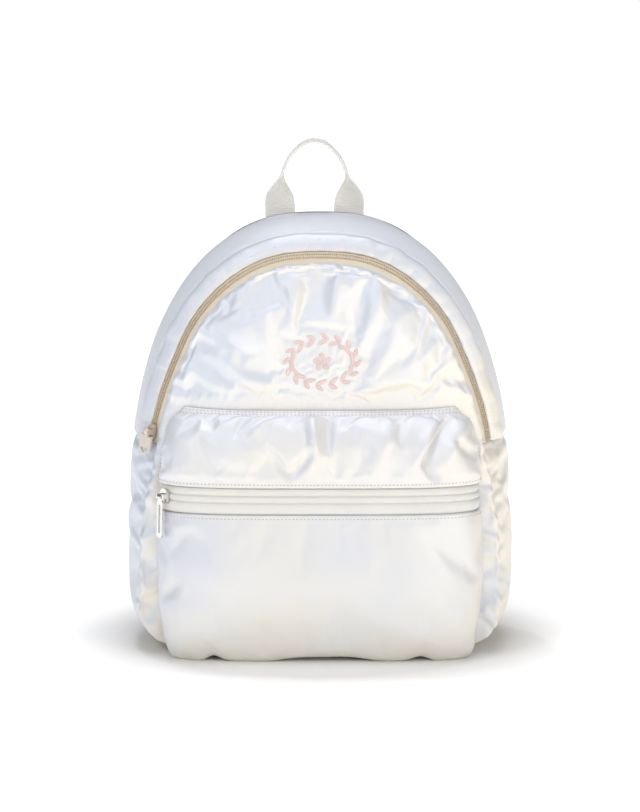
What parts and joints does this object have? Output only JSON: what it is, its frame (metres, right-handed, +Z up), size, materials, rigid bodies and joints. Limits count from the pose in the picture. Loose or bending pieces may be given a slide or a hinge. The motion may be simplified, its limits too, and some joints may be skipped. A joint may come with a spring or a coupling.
{
  "type": "quilted puffer backpack",
  "caption": "Small puffer backpack in pearl nylon with an arched main zip, a full-width front pocket, a webbing grab handle and padded shoulder straps.",
  "frame": {"origin": "middle of the flat base, on the floor", "axes": "+Z up, +Y towards the wearer's back panel, so the pocket faces -Y, and +X to the right as seen from the pocket side"},
  "size_m": [0.2756, 0.1856, 0.3608],
  "materials": {
    "pearl_nylon": "pearly coated nylon over wadding, soft metallic sheen from cream to lavender",
    "zip_tape": "woven polyester zip tape with a nylon coil",
    "webbing": "ribbed woven webbing, matt",
    "moulded_plastic": "moulded ivory plastic, satin",
    "zip_metal": "bright nickel plate"
  },
  "bodies": {
    "root": {"back_panel": "pearl_nylon", "front_panel": "pearl_nylon", "base_gusset": "pearl_nylon", "top_band": "pearl_nylon", "zip_flap": "pearl_nylon", "main_zip": "zip_tape", "pocket_pouch": "pearl_nylon", "pocket_zip": "zip_tape", "pocket_yoke": "pearl_nylon", "handle": "webbing", "strap_right": "pearl_nylon", "buckle_right": "moulded_plastic", "buckle_tab_right": "webbing", "webbing_right": "webbing", "strap_left": "pearl_nylon", "buckle_left": "moulded_plastic", "buckle_tab_left": "webbing", "webbing_left": "webbing", "main_slider": "moulded_plastic", "pocket_slider": "zip_metal"},
    "main_pull": {"main_pull": "moulded_plastic"},
    "pocket_pull": {"pocket_pull": "zip_metal"}
  },
  "joints": [
    {"name": "main_pull_hinge", "type": "hinge", "parent": "root", "child": "main_pull", "pos_m": [-0.12407, -0.04665, 0.16139], "axis": [-0.5917, 0.8, 0.099], "range_deg": [0, 160]},
    {"name": "pocket_pull_hinge", "type": "hinge", "parent": "root", "child": "pocket_pull", "pos_m": [-0.11388, -0.07814, 0.11966], "axis": [-0.653, 0.7563, -0.0396], "range_deg": [0, 160]}
  ]
}
